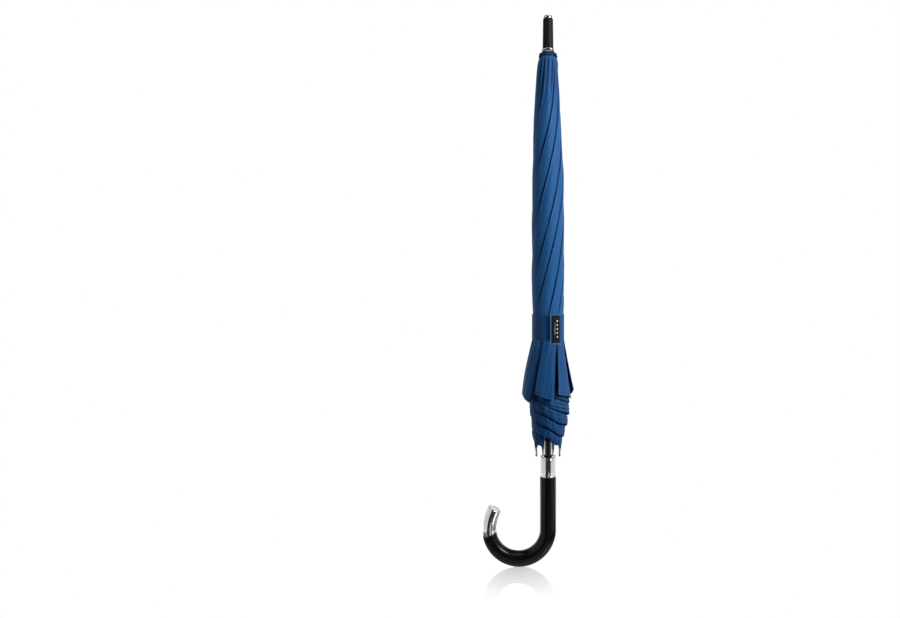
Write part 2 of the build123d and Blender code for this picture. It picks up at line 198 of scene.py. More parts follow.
def latheGrid(profile, steps):
    # a profile of (radius, height) pairs carried round the Z axis
    turn = np.arange(steps) * 2 * pi / steps
    profile = np.array(profile, float)
    return aroundAxis(profile[:, :1] + 0 * turn, turn + 0 * profile[:, :1], profile[:, 1:] + 0 * turn)


def softProfile(corners, radii, steps=5):
    # polyline with each inner corner replaced by an arc-like blend of the given size
    out = [corners[0]]
    for a, b, c, r in zip(corners[:-2], corners[1:-1], corners[2:], radii):
        inLength = hypot(b[0] - a[0], b[1] - a[1])
        outLength = hypot(c[0] - b[0], c[1] - b[1])
        p = [b[k] + (a[k] - b[k]) * min(r / inLength, 0.48) for k in (0, 1)]
        q = [b[k] + (c[k] - b[k]) * min(r / outLength, 0.48) for k in (0, 1)]
        for t in np.linspace(0, 1, steps):
            near, middle, far = (1 - t) ** 2, 2 * t * (1 - t), t * t
            out.append(tuple(near * p[k] + middle * b[k] + far * q[k] for k in (0, 1)))
    out.append(corners[-1])
    return out


# shader helpers
class Value:
    # wraps a socket, so that expressions add Math nodes
    def __init__(self, graph, socket):
        self.graph = graph
        self.socket = socket

    def math(self, operation, *others):
        return self.graph.node("ShaderNodeMath", {"operation": operation}, [self, *others])

    def __add__(self, other):
        return self.math("ADD", other)

    __radd__ = __add__

    def __sub__(self, other):
        return self.math("SUBTRACT", other)

    def __rsub__(self, other):
        return self.graph.node("ShaderNodeMath", {"operation": "SUBTRACT"}, [other, self])

    def __mul__(self, other):
        return self.math("MULTIPLY", other)

    __rmul__ = __mul__

    def __truediv__(self, other):
        return self.math("DIVIDE", other)

    def __pow__(self, other):
        return self.math("POWER", other)

    def clamp(self):
        return self.graph.node("ShaderNodeClamp", {}, {"Value": self})

    def step(self, low, high):
        settings = {"interpolation_type": "SMOOTHSTEP"}
        inputs = {"Value": self, "From Min": low, "From Max": high}
        return self.graph.node("ShaderNodeMapRange", settings, inputs)


class Graph:
    # node tree of a material or of the world
    def __init__(self, owner):
        self.owner = owner
        owner.use_nodes = True
        self.tree = owner.node_tree
        self.shader = self.tree.nodes.get("Principled BSDF")

    def node(self, kind, settings, inputs, output=0):
        made = self.tree.nodes.new(kind)
        for key, value in settings.items():
            setattr(made, key, value)
        pairs = inputs.items() if isinstance(inputs, dict) else enumerate(inputs)
        for key, value in pairs:
            self.put(made.inputs[key], value)
        # an output node has no sockets to pass on
        return Value(self, made.outputs[output]) if made.outputs else None

    def put(self, socket, value):
        if isinstance(value, Value):
            self.tree.links.new(value.socket, socket)
        else:
            socket.default_value = value

    def place(self):
        return self.node("ShaderNodeTexCoord", {}, {}, "Object")

    def noise(self, scale, detail=3.0, vector=None, roughness=0.5):
        vector = vector or self.place()
        inputs = {"Vector": vector, "Scale": scale, "Detail": detail, "Roughness": roughness}
        return self.node("ShaderNodeTexNoise", {}, inputs, "Fac")

    def stretched(self, scale):
        return self.node("ShaderNodeMapping", {}, {"Vector": self.place(), "Scale": scale})

    def split(self, vector):
        x = self.node("ShaderNodeSeparateXYZ", {}, [vector])
        y, z = (Value(self, x.socket.node.outputs[k]) for k in (1, 2))
        return x, y, z

    def attribute(self, name):
        return self.node("ShaderNodeAttribute", {"attribute_name": name}, {}, "Fac")

    def mixColour(self, factor, a, b):
        # sockets 6, 7 and 2 are the colour ones
        return self.node("ShaderNodeMix", {"data_type": "RGBA"}, {"Factor": factor, 6: a, 7: b}, 2)

    def bump(self, height, strength, distance):
        inputs = {"Strength": strength, "Distance": distance * mm, "Height": height}
        return self.node("ShaderNodeBump", {}, inputs, "Normal")

    def set(self, **sockets):
        names = {
            "BaseColor": "Base Color", "CoatWeight": "Coat Weight", "CoatRoughness": "Coat Roughness",
            "SheenWeight": "Sheen Weight", "SheenRoughness": "Sheen Roughness",
            "SpecularLevel": "Specular IOR Level",
        }
        for key, value in sockets.items():
            self.put(self.shader.inputs[names.get(key, key)], value)
        return self.owner


def rgb(r, g, b):
    # display colour to the linear colour of a socket
    shares = (r / 255, g / 255, b / 255)
    return tuple(((c + 0.055) / 1.055) ** 2.4 if c > 10 / 255 else c / 12.92 for c in shares) + (1,)


clothLook = {
    "colour": rgb(32, 92, 149),
    "deep": rgb(25, 78, 132),
    # painted shade colour for folds, grooves and recesses
    "painted_shade": rgb(5, 29, 68),
    # painted highlight colour for fold edges and hems
    "wear_and_painted_highlight": rgb(78, 126, 178),
    "roughness": 0.55,
    "sheen": 0.03,
    "weaveScale": 1500.0,
}


def clothMaterial(name, s):
    # fine plain weave: two crossed thread waves, slubs, painted shade that darkens the folds, and
    # painted highlight that lightens the fold edges
    g = Graph(bpy.data.materials.new(name))
    place = g.place()
    cloud = g.noise(9.0, 4.0)
    slub = g.noise(1.0, 2.0, g.stretched((900, 900, 60)))
    base = g.mixColour((cloud * 1.6 - 0.3).clamp(), s["colour"], s["deep"])
    base = g.mixColour((slub - 0.5).clamp() * 0.5, base, s["deep"])
    # painted shade from the mesh's shade attribute, then painted highlight from its highlight attribute
    painted_shade = g.attribute("painted_shade")
    base = g.mixColour((painted_shade * 0.92).clamp(), base, s["painted_shade"])
    base = g.mixColour((g.attribute("wear_and_painted_highlight") * 0.6).clamp(), base, s["wear_and_painted_highlight"])
    x, y, z = g.split(place)
    bearing = y.math("ARCTAN2", x)
    warp = (bearing * (s["weaveScale"] * 0.024)).math("SINE")
    weft = (z * s["weaveScale"]).math("SINE")
    fine = g.noise(1400.0, 2.0)
    height = warp * weft * 0.5 + fine * 0.8 + g.noise(160.0, 2.0) * 1.5
    return g.set(
        BaseColor=base,
        Roughness=(s["roughness"] + (fine - 0.5) * 0.18),
        SheenWeight=s["sheen"],
        SheenRoughness=0.4,
        SpecularLevel=0.12,
        Normal=g.bump(height, 0.35, 0.12),
    )


cloth = clothMaterial("canopy_cloth_weave", clothLook)
strapLook = dict(clothLook, colour=rgb(28, 75, 124), deep=rgb(22, 65, 110))
strapCloth = clothMaterial("strap_cloth_weave", strapLook)


def chromeMaterial(name, colour, roughness, brush=0.0):
    # bright plate: faint smears change its gloss, drawn lines if brushed
    g = Graph(bpy.data.materials.new(name))
    smear = g.noise(35.0, 4.0)
    lines = g.noise(1.0, 2.0, g.stretched((120, 120, 4000)))
    height = lines * brush + g.noise(60.0, 1.0) * 0.1
    return g.set(
        BaseColor=g.mixColour((smear - 0.35).clamp() * 0.35, colour, (0.42, 0.43, 0.44, 1)),
        Metallic=1.0,
        Roughness=smear * 0.08 + roughness,
        Normal=g.bump(height, 0.1, 0.05),
    )


chrome = chromeMaterial("bright_chrome_plate", (0.78, 0.79, 0.80, 1), 0.05)
nickel = chromeMaterial("rib_tip_nickel_plate", (0.62, 0.62, 0.60, 1), 0.16)
drawnWire = chromeMaterial("drawn_steel_wire", (0.55, 0.55, 0.55, 1), 0.28, 1.0)


def lacquerMaterial(name, colour, roughness, coat, grain, grainDepth, specular=0.35):
    # dark coated surface: faint orange peel, dust that lifts the colour a little
    g = Graph(bpy.data.materials.new(name))
    dust = g.noise(70.0, 5.0)
    peel = g.noise(grain, 2.0)
    light = tuple(min(1, c * 2.2 + 0.004) for c in colour[:3]) + (1,)
    return g.set(
        BaseColor=g.mixColour((dust * 1.5 - 0.5).clamp() * 0.5, colour, light),
        Roughness=(dust - 0.5) * 0.1 + roughness,
        CoatWeight=coat,
        CoatRoughness=0.12,
        SpecularLevel=specular,
        Normal=g.bump(peel, 0.2, grainDepth),
    )


gripLacquer = lacquerMaterial(
    "grip_black_lacquer", (0.0016, 0.002, 0.0021, 1), 0.28, 0.15, 300.0, 0.015, 0.13,
)
shaftEnamel = lacquerMaterial("shaft_black_enamel", (0.004, 0.0035, 0.0035, 1), 0.25, 0.5, 500.0, 0.02)
ferrulePlastic = lacquerMaterial(
    "ferrule_satin_plastic", (0.006, 0.0055, 0.0065, 1), 0.5, 0.0, 1200.0, 0.05, 0.14,
)
capPlastic = lacquerMaterial(
    "cap_satin_plastic", (0.003, 0.006, 0.018, 1), 0.45, 0.0, 1200.0, 0.05, 0.2,
)
hubPlastic = lacquerMaterial("hub_moulded_plastic", (0.009, 0.009, 0.010, 1), 0.45, 0.0, 1500.0, 0.06)


def ribMaterial(name):
    # satin enamel on folded steel, rubbed bright in places along its edges
    g = Graph(bpy.data.materials.new(name))
    wear = g.noise(140.0, 5.0)
    edge = g.node("ShaderNodeNewGeometry", {}, {}, "Pointiness")
    wear_and_painted_highlight = ((edge - 0.5) * 6 + wear - 0.35).step(0.35, 0.6) * 0.6
    return g.set(
        BaseColor=g.mixColour(wear_and_painted_highlight, (0.012, 0.012, 0.014, 1), (0.35, 0.35, 0.36, 1)),
        Metallic=wear_and_painted_highlight,
        Roughness=wear * 0.2 + 0.3,
        Normal=g.bump(g.noise(900.0, 2.0), 0.15, 0.03),
    )


ribSteel = ribMaterial("rib_satin_enamel")

slotLooks = {
    "shaft_enamel": shaftEnamel,
    "ferrule_plastic": ferrulePlastic,
    "cap_plastic": capPlastic,
    "hub_plastic": hubPlastic,
    "rib_steel": ribSteel,
    "rib_tip_nickel": nickel,
    "bright_wire": drawnWire,
    "bright_chrome": chrome,
    "grip_lacquer": gripLacquer,
    "canopy_cloth": cloth,
    "label_cloth": capPlastic,
}


def dressFrame():
    # every carried-over node takes the finish of its slot
    slots = {part["node"]: part["material_slot"] for part in record["subparts"]}
    for node, piece in frame["nodes"].items():
        for materialSlot in piece.material_slots:
            materialSlot.material = slotLooks[slots[node]]


dressFrame()
print("materials done")

# canopy
canopy = {
    "rows": 330,
    "stripColumns": 22,
    "restColumns": 12,
    "strip": 5.5,           # the cloth next to a rib that opens out into the panel
    "twist": 0.0104,        # turn of the folds, radians for each millimetre down
    "twistStart": 652.0,
    "twistEase": 26.0,
    "firstFold": radians(-104),
    "lap": 1.7,             # step from one fold down to the next
    "belly": 0.75,
    "groove": 1.25,
    "grooveWidth": 0.085,
    "lip": 0.35,            # rolled edge of each fold
    "ripple": 0.16,
    "fineRipple": 0.10,
    "gather": 1.5,          # depth of the small gathers drawn in under the cap
    "gathers": 8,
    "slim": 2.6,            # how much closer the upper right side lies
    "hemMiddle": 134.0,
    "hemRib": 84.0,
    "thickness": 0.35,
    "shown": (0.0100, 0.600),   # the strip of each half gore that shows while furled
    "girth": [
        (706.5, 11.0), (705.2, 12.9), (703.6, 14.2), (701.5, 14.9), (698.0, 15.7), (693.0, 16.5),
        (683.0, 17.5), (664.0, 18.9), (636.0, 20.5), (598.0, 22.0), (569.0, 22.8), (521.0, 23.7),
        (480.0, 24.3), (420.0, 24.5), (330.0, 24.4), (305.0, 24.1), (296.0, 23.9), (256.0, 23.9),
        (240.0, 23.8), (200.0, 23.4), (134.0, 22.8), (80.0, 22.2),
    ],
}


def foldPhase(bearing, height, s):
    # which fold a point is on, counted in folds; whole numbers are the folds' edges
    below = (s["twistStart"] - height) / s["twistEase"]
    drop = s["twistEase"] * np.logaddexp(0, below)
    turn = -s["twist"] * drop
    p = (bearing - s["firstFold"] - turn) / pitch
    wobble = 0.13 * np.sin(2 * pi * p / 8 + 1.3 + height * 0.004)
    return p + wobble + 0.07 * np.sin(2 * pi * 3 * p / 8 + 0.5 - height * 0.007)


def furledSurface(bearing, height, s):
    # girth at the height, plus a saw-tooth lap for each fold: up sharply at the
    # fold's free edge, a soft belly, down to a narrow groove under the next edge;
    # near the top, gathers that follow the power of a sine round the axis
    girth = easeTable(height, s["girth"])
    phase = foldPhase(bearing, height, s)
    fold = np.floor(phase)
    u = phase - fold
    strength = smoothStep(704, 640, height) * 0.75 + 0.25
    strength = strength * (0.45 + 0.55 * smoothStep(299, 325, height))
    strength = strength * smoothStep(236, 262, height)
    vary = 1 + 0.22 * np.sin(fold * 2.3 + height * 0.012)
    rise = smoothStep(0, 0.05, u)
    dip = smoothStep(1 - s["grooveWidth"], 1, u)
    lap = s["lap"] * vary * (0.5 - u)
    low = -0.5 * s["lap"] * vary
    belly = s["belly"] * np.sin(pi * np.clip(u, 0, 1)) ** 0.8
    lip = s["lip"] * np.exp(-((u - 0.06) / 0.05) ** 2)
    shape = (low - s["groove"]) * (1 - rise) + rise * (lap + belly + lip) - dip * s["groove"]
    ripple = s["ripple"] * np.sin(phase * 9.4 + height * 0.021) * np.sin(height * 0.047 + fold * 1.7)
    ripple += s["fineRipple"] * np.sin(phase * 21.0 - height * 0.05 + fold)
    sway = 0.9 * np.sin(height * 0.031 + 1.2) + 0.7 * np.sin(3 * bearing)
    pleated = np.abs(np.sin(s["gathers"] * bearing + sway)) ** 0.55
    drawn = smoothStep(598, 684, height)
    gather = s["gather"] * (pleated - 0.8) * drawn
    neck = smoothStep(706, 694, height)
    # painted shade: darkens the grooves under each fold edge and the gathers drawn in under the cap
    painted_shade = np.clip(np.maximum(1 - rise, dip), 0, 1) * smoothStep(236, 262, height)
    painted_shade = painted_shade * (0.5 + 0.5 * smoothStep(704, 660, height))
    painted_shade = np.maximum(painted_shade, np.clip(1.7 - 1.75 * pleated, 0, 1) * drawn * neck)
    slim = s["slim"] * np.clip(np.cos(bearing), 0, 1) ** 1.5
    slim = slim * smoothStep(704, 680, height) * smoothStep(520, 590, height)
    radius = girth + (shape + ripple) * strength * neck + gather * neck - slim
    # painted highlight along each fold's rolled free edge
    wear_and_painted_highlight = np.exp(-((u - 0.07) / 0.06) ** 2) * 0.35 * strength
    return radius, painted_shade, wear_and_painted_highlight


def halfGore(index, side, s):
    # grid from the rib's line to the gore's middle line: columns by distance from
    # the rib's plane, rows from under the cap to the hem
    strip = np.linspace(0, 1, s["stripColumns"] + 1) * s["strip"]
    rest = np.linspace(0, 1, s["restColumns"] + 1)[1:]
    v = np.linspace(0, 1, s["rows"] + 1)[:, None]
    w = smoothStep(0, s["strip"], strip)
    hemStrip = s["hemRib"] + (s["hemMiddle"] - s["hemRib"]) * (1 - (1 - w) ** 1.7)
    hem = np.concatenate([hemStrip, np.full(len(rest), s["hemMiddle"])])
    top = s["girth"][0][0]
    height = top - v * (top - hem[None, :])
    girth = easeTable(height, s["girth"])
    middle = girth * sin(halfPitch)
    offset = np.concatenate([
        np.minimum(strip[None, :], middle[:, : len(strip)] * (strip / s["strip"])[None, :]),
        np.minimum(s["strip"], middle[:, len(strip):]) * (1 - rest) + middle[:, len(strip):] * rest,
    ], axis=1)
    bearing = ribBearing(index) + side * np.arcsin(np.clip(offset / girth, 0, sin(halfPitch)))
    radius, painted_shade, wear_and_painted_highlight = furledSurface(bearing, height, s)
    points = aroundAxis(radius, bearing, height)
    name = "left" if side > 0 else "right"
    piece = meshFromGrid(
        f"gore_{index + 1}_{name}", points, flip=side > 0,
        values={"painted_shade": painted_shade, "wear_and_painted_highlight": wear_and_painted_highlight}, material=cloth,
    )
    thicken(piece, s["thickness"])
    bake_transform(piece)
    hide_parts(f"canopy_{index + 1}_{name}")


for ribIndex in range(ribCount):
    halfGore(ribIndex, 1, canopy)
    halfGore(ribIndex, -1, canopy)
print("canopy done")

# loose pleats below the strap
pleats = {
    "columns": 84,
    "rows": 64,
    "top": 262.0,
    "waist": 24.6,
    # bearing of the free edge at the strap and at the hem, hem's height at the edge and at
    # the far side, hem's radius, how early it flares, where it dives, how deep, and its body
    "folds": [
        (-168, -180, 172.5, 163, 40.2, 1.45, 0.62, 10.0, "gore_5_left"),
        (-104, -122, 176.5, 167.5, 38.6, 1.2, 0.67, 12.0, "gore_6_left"),
        (-52, -66, 177.5, 166, 38.4, 0.95, 0.80, 8.0, "gore_7_left"),
        (-12, -3, 180, 171, 40.2, 0.9, 0.62, 9.0, "gore_8_left"),
        (20, 26, 176, 167, 38.0, 1.1, 0.72, 8.0, "gore_1_left"),
        (66, 70, 178, 166, 37.4, 1.0, 0.70, 10.0, "gore_2_left"),
        (112, 113, 175, 167, 38.8, 1.2, 0.76, 8.0, "gore_3_left"),
        (156, 150, 177, 169, 38.4, 1.3, 0.70, 10.0, "gore_4_left"),
    ],
    "middles": [-135, -90, -45, 0, 45, 90, 135, 180],
    "under": 16.0,
    "underShare": 0.2,      # share of the columns for the hidden under-layer
    "rollIn": (0.8, 3.1),   # how far it tucks in, at the strap and more at the hem
    "wing": 1.3,            # free edge stands out
    "fan": 0.75,
    "streak": 0.55,
    "fineStreak": 0.22,
    "hemLine": 0.3,
    "shade": 0.34,          # painted shade: how far the pleats below their top darken towards the painted shade colour
    "thickness": 0.4,
    "anchor": 25.8,         # radius that a pleat flattens to as the canopy opens
}


def pleatSurface(index, s):
    # across: from the hidden under-layer out to the free edge, round it, over the face and
    # down into a valley under the next fold; down: narrow at the strap, flaring to the hem
    topEdge, hemEdge, hemNear, hemFar, rimHem, flare, dive, depth, _ = s["folds"][index]
    following = s["folds"][(index + 1) % len(s["folds"])]
    nextTop = following[0] + 360 * (following[0] < topEdge)
    nextHem = following[1] + 360 * (following[1] < hemEdge)
    v = np.linspace(0, 1, s["rows"] + 1)[:, None]
    u = np.linspace(0, 1, s["columns"] + 1)[None, :]
    turn = s["underShare"]
    under = np.clip(u / turn, 0, 1)
    over = np.clip((u - turn) / (1 - turn), 0, 1)
    onFace = under > 0.999
    swing = v ** 0.8
    edge = topEdge + (hemEdge - topEdge) * swing + 0.9 * np.sin(v * 7 + index) * v
    far = nextTop + (nextHem - nextTop) * swing + 5 + 4 * v
    bearing = edge + s["under"] * v ** 0.5 * (1 - under) ** 1.3 + (far - edge) * over
    rim = s["waist"] + (rimHem - s["waist"]) * (1 - (1 - v) ** flare)
    valley = smoothStep(dive - 0.05, 0.93, over)
    atStrap, atHem = s["rollIn"]
    rollIn = (atStrap + atHem * swing) * (1 - under) ** 0.7 + 0.45 * np.exp(-over / 0.025) * onFace
    wing = s["wing"] * swing * np.exp(-over / 0.16) * onFace
    radius = rim - rollIn - (0.3 + depth * swing) * valley - 1.6 * swing * over ** 1.5 + wing
    # folds that fan out from under the strap, and soft streaks down to the hem
    fan = np.exp(-((v - 0.12) / 0.16) ** 2)
    fanPhase = over * 13 + v * 9 + index * 2.3
    fanStart = smoothStep(0, 0.12, over)
    radius += s["fan"] * fan * np.sin(fanPhase) * (over > 0) * fanStart
    radius += s["streak"] * v * np.sin(pi * over) * np.sin(over * 11 - v * 2.2 + index * 1.9)
    fineWave = np.sin(over * 31 + v * 11 + index) * np.sin(v * 4 + over * 3) * np.sin(pi * over)
    radius += s["fineStreak"] * fineWave
    hem = hemNear + (hemFar - hemNear) * np.minimum(over / dive, 1) ** 1.1 + 2.5 * (1 - under)
    hem = hem + 12 * smoothStep(dive - 0.06, 1, over)
    hem = hem + 0.7 * np.sin(over * 8 + index * 2)
    height = s["top"] + (hem - s["top"]) * v
    # painted shade: darkens the hidden under-layer, the valleys under the next fold and the fan folds'
    # troughs; the shade setting darkens everything below the top as well
    painted_shade = np.clip((1 - under) * 1.5, 0, 1) + valley * (0.55 + 0.45 * swing)
    painted_shade += 0.3 * fan * np.clip(np.sin(fanPhase + pi), 0, 1) * fanStart
    hemLine = s["hemLine"] * np.exp(-((s["top"] - hem) * (1 - v) - 4.0) ** 2 / 0.9)
    painted_shade = np.clip(s["shade"] * smoothStep(0, 0.2, v) + painted_shade * (0.3 + 0.7 * v) + hemLine, 0, 1)
    # painted highlight along the free edge and along the hem
    wear_and_painted_highlight = np.exp(-over / 0.03) * onFace * (0.3 + 0.7 * v) * 0.7
    wear_and_painted_highlight = wear_and_painted_highlight + np.exp(-((1 - v) / 0.02) ** 2) * 0.5
    return aroundAxis(radius, np.radians(bearing), height), painted_shade, wear_and_painted_highlight


def pleatCut(index, s):
    # flat size of a pleat in metres: a strip that widens from the strap to the hem, with its
    # length down the slope, and the area of that shape
    topEdge, hemEdge, hemNear, _, rimHem = s["folds"][index][:5]
    following = s["folds"][(index + 1) % len(s["folds"])]
    topTurn = (following[0] - topEdge) % 360 + 5
    hemTurn = (following[1] - hemEdge) % 360 + 9 + s["under"]
    topWidth = radians(topTurn) * s["waist"] * mm
    hemWidth = radians(hemTurn) * rimHem * mm
    length = sqrt((s["top"] - hemNear) ** 2 + (rimHem - s["waist"]) ** 2) * mm
    return (hemWidth, length), (topWidth + hemWidth) / 2 * length


def makePleat(index, s):
    # one pleat, carried by its gore; the axis along its middle bearing and the anchor for flattening it
    # as the runner climbs are worked out but not applied
    points, painted_shade, wear_and_painted_highlight = pleatSurface(index, s)
    values = {"painted_shade": painted_shade, "wear_and_painted_highlight": wear_and_painted_highlight}
    piece = meshFromGrid(f"pleat_{index + 1}", points, values=values, material=cloth)
    thicken(piece, s["thickness"], 0.0)
    middle = radians(s["middles"][index])
    axis = (cos(middle), sin(middle), 0)
    anchor = tuple(a * s["anchor"] * mm for a in axis)
    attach(piece, s["folds"][index][-1])
    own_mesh(piece)
    flat, area = pleatCut(index, s)


for pleatIndex in range(len(pleats["folds"])):
    makePleat(pleatIndex, pleats)
print("pleats done")

# wrapped hem below the pleats
wraps = {
    "columns": 56,
    "rows": 170,
    "top": 186.0,
    "foot": 90.5,
    "scallop": 5.0,
    "slit": (-104.0, -52.0, 13.5),  # hem rises at the first bearing and falls back by the second
    "spacing": 18.0,
    "aFold": 139.5,         # height of one fold at the front
    "fall": (-6.0, 4.0),    # evens out the folds' slope, steeper behind
    "lap": 2.5,
    "belly": 0.7,
    "groove": 1.7,
    "wrinkle": (0.35, 0.75),    # fine wrinkles low down, and what the top adds
    "ripple": 0.3,
    "fineRipple": 0.16,
    "lean": 2.3,            # right side stands out, left lies in
    "pinch": 1.4,           # drawn in between the ribs at the hem
    # painted shade: how far the whole wrapped hem is darkened towards the painted shade colour
    "shade": 0.48,
    "thickness": 0.4,
    "anchor": 23.5,
    "shown": (0.0210, 0.100),
    "girth": [
        (190.0, 27.5), (172.0, 29.5), (158.0, 30.4), (146.0, 30.0), (130.0, 27.6), (116.0, 25.6),
        (100.0, 23.2), (88.0, 22.0),
    ],
}


def betweenRibs(bearing):
    # 0 on a rib, 1 midway between two: size of the sine of half the turn times the ribs' number
    return np.abs(np.sin((bearing - halfPitch) * ribCount / 2))


def wrapSurface(bearing, height, s):
    # girth at the height with laps that run down and round like a wound scarf, and
    # finer wrinkles that follow them under the pleats
    front = bearing + pi / 2
    turns = s["spacing"] * 5 / (2 * pi)
    first, second = s["fall"]
    fall = turns * front + first * np.sin(front) + second * np.sin(2 * front)
    along = height + fall - s["aFold"]
    q = along / s["spacing"]
    q = q + 0.05 * np.sin(bearing * 5 + height * 0.05) + 0.07 * np.sin(bearing * 2 + 1.0)
    turn = np.floor(q)
    u = q - turn
    vary = 1 + 0.28 * np.sin(turn * 2.4 + bearing) + 0.45 * np.cos(bearing)
    upper = smoothStep(143, 153, height)
    vary = vary * (1 - 0.7 * upper)
    rise = smoothStep(0, 0.045, u)
    dip = smoothStep(0.86, 1, u)
    lap = s["lap"] * vary * (0.5 - u)
    low = -0.5 * s["lap"] * vary
    belly = s["belly"] * np.sin(pi * np.clip(u, 0, 1))
    groove = s["groove"] * (1 - 0.7 * upper)
    shape = (low - groove) * (1 - rise) + rise * (lap + belly) - dip * groove
    fine = (along / s["spacing"] * 3 + 0.2 * np.sin(bearing * 3)) % 1.0
    fineRise = smoothStep(0, 0.12, fine) - fine
    deep, deeper = s["wrinkle"]
    wrinkle = fineRise * (deep + deeper * upper)
    near = smoothStep(s["foot"] + 2, s["foot"] + 20, height)
    ripple = s["ripple"] * np.sin(bearing * 17 + height * 0.12)
    ripple = ripple + s["fineRipple"] * np.sin(bearing * 29 - height * 0.2)
    lean = s["lean"] * np.cos(bearing) * smoothStep(110, 130, height)
    pinch = s["pinch"] * betweenRibs(bearing) * (1 - near)
    radius = easeTable(height, s["girth"]) + (shape + wrinkle) * near + ripple + lean - pinch
    # painted shade in the laps' grooves and the fine wrinkles, on top of an overall painted darkening of
    # the wrapped hem
    painted_shade = np.maximum(1 - rise, dip) * (1 - 0.45 * upper)
    painted_shade = np.maximum(painted_shade, (1 - smoothStep(0, 0.1, fine)) * 0.5 * upper)
    return radius, np.clip(s["shade"] + painted_shade * near, 0, 1)


def wrapFoot(bearing, s):
    # hem's height: a point at each rib, a slit in front of the shaft
    between = betweenRibs(bearing)
    degrees = np.degrees(bearing)
    opens, closes, rise = s["slit"]
    slit = smoothStep(opens - 2.5, opens, degrees) * np.clip((closes - degrees) / (closes - opens), 0, 1)
    return s["foot"] + s["scallop"] * between ** 0.7 * (1 + 0.4 * np.sin(bearing * 3)) + rise * slit


def makeWrap(index, s):
    # an eighth of the wrapped hem, centred on its rib: radius from wrapSurface down to wrapFoot
    bearing = ribBearing(index) + np.linspace(-halfPitch, halfPitch, s["columns"] + 1)[None, :]
    wrapped = (bearing + pi) % (2 * pi) - pi
    v = np.linspace(0, 1, s["rows"] + 1)[:, None]
    height = s["top"] + (wrapFoot(wrapped, s) - s["top"]) * v
    radius, painted_shade = wrapSurface(wrapped + 0 * v, height, s)
    points = aroundAxis(radius, bearing + 0 * v, height)
    values = {"painted_shade": painted_shade}
    piece = meshFromGrid(f"wrap_{index + 1}", points, flip=True, values=values, material=cloth)
    thicken(piece, s["thickness"])
    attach(piece, f"rib_arm_{index + 1}")
    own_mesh(piece)


for ribIndex in range(ribCount):
    makeWrap(ribIndex, wraps)
print("wraps done")

# tie strap, its tab and label
strap = {
    "radius": 25.45,
    "thickness": 0.7,
    "hem": 2.2,
    "hemRaise": 0.18,
    "stitch": 0.15,         # depth of the stitched line
    "pulledIn": 0.35,       # beside the tab
    "waves": (0.22, 0.12),
    "tabHem": 0.3,
    "tabThickness": 0.8,
    "labelThickness": 0.35,
    "tabRadius": 26.75,
    "tabStart": -83.6,
    "tabEnd": -38.0,
    "tabDrop": 1.5,
    "labelStart": -77.0,
    "labelEnd": -47.0,
    "labelMargin": 1.6,
    # how far out each lies when the strap hangs flat against the open canopy
    "bandAnchor": 26.1,
    "tabAnchor": 27.3,
    "labelAnchor": 28.1,
}


def bandPoints(radius, start, end, bottom, top, columns, rows):
    # upright band of one radius between two bearings, with its shares across and down
    v = np.linspace(0, 1, rows + 1)[:, None]
    u = np.linspace(0, 1, columns + 1)[None, :]
    bearing = np.radians(start + (end - start) * u) + 0 * v
    height = top + (bottom - top) * v + 0 * u
    return radius + 0 * bearing, bearing, height, u, v


def makeStrap(s):
    # upright band round the furled cloth, pulled in and darkened with a painted shadow where the tab's
    # free edge shades it; its stitched lines get painted shade too
    radius, bearing, height, _, _ = bandPoints(s["radius"], 0, 360, strapFoot, strapTop, 180, 24)
    first, second = s["waves"]
    wave = first * np.sin(bearing * 8 + 0.8) + second * np.sin(bearing * 5 + height * 0.05)
    edge = np.minimum(height - strapFoot, strapTop - height)
    hem = s["hemRaise"] * smoothStep(s["hem"], s["hem"] - 0.6, edge)
    stitch = np.exp(-((edge - s["hem"] - 0.2) / 0.45) ** 2)
    pastTab = np.degrees(bearing) - 360 - s["tabStart"]
    besideTab = np.exp(-((pastTab + 7) / 8) ** 2) * smoothStep(strapFoot, strapFoot + 9, height)
    besideTab = besideTab * smoothStep(strapTop, strapTop - 5, height)
    radius = radius + wave * 0.5 + hem - s["stitch"] * stitch - s["pulledIn"] * besideTab
    # painted shadow beside the tab's free edge, and painted shade along the stitched lines
    painted_shade = np.clip(stitch * 0.4 + 0.85 * besideTab, 0, 1)
    piece = meshFromGrid(
        "strap_band", aroundAxis(radius, bearing, height)[:, :-1], wrap=True, flip=True,
        values={"painted_shade": painted_shade[:, :-1]}, material=strapCloth,
    )
    thicken(piece, s["thickness"])
    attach(piece, "gore_7_left")
    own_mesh(piece)
    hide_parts("tie_strap")


def makeTab(s):
    # flap of the strap: a band with a raised hem and a stitched line along its edges
    bottom = strapFoot - s["tabDrop"]
    ends = s["tabStart"], s["tabEnd"]
    radius, bearing, height, _, _ = bandPoints(s["tabRadius"], *ends, bottom, strapTop, 60, 60)
    across = (bearing - radians(s["tabStart"])) * s["tabRadius"]
    edge = np.minimum(np.minimum(across, height - bottom), strapTop - height)
    hem = s["tabHem"] * smoothStep(2.3, 1.7, edge)
    stitch = np.exp(-((edge - 2.6) / 0.4) ** 2)
    radius = radius + hem - 0.1 * stitch
    points = aroundAxis(radius, bearing, height)
    # painted shade along the stitched line, and painted highlight on the raised hem along the edges
    values = {"painted_shade": stitch * 0.5, "wear_and_painted_highlight": smoothStep(2.0, 1.2, edge)}
    piece = meshFromGrid("strap_tab_cloth", points, flip=True, values=values, material=strapCloth)
    thicken(piece, s["tabThickness"])
    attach(piece, "strap_flap")
    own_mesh(piece)
    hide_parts("strap_tab")
    return piece


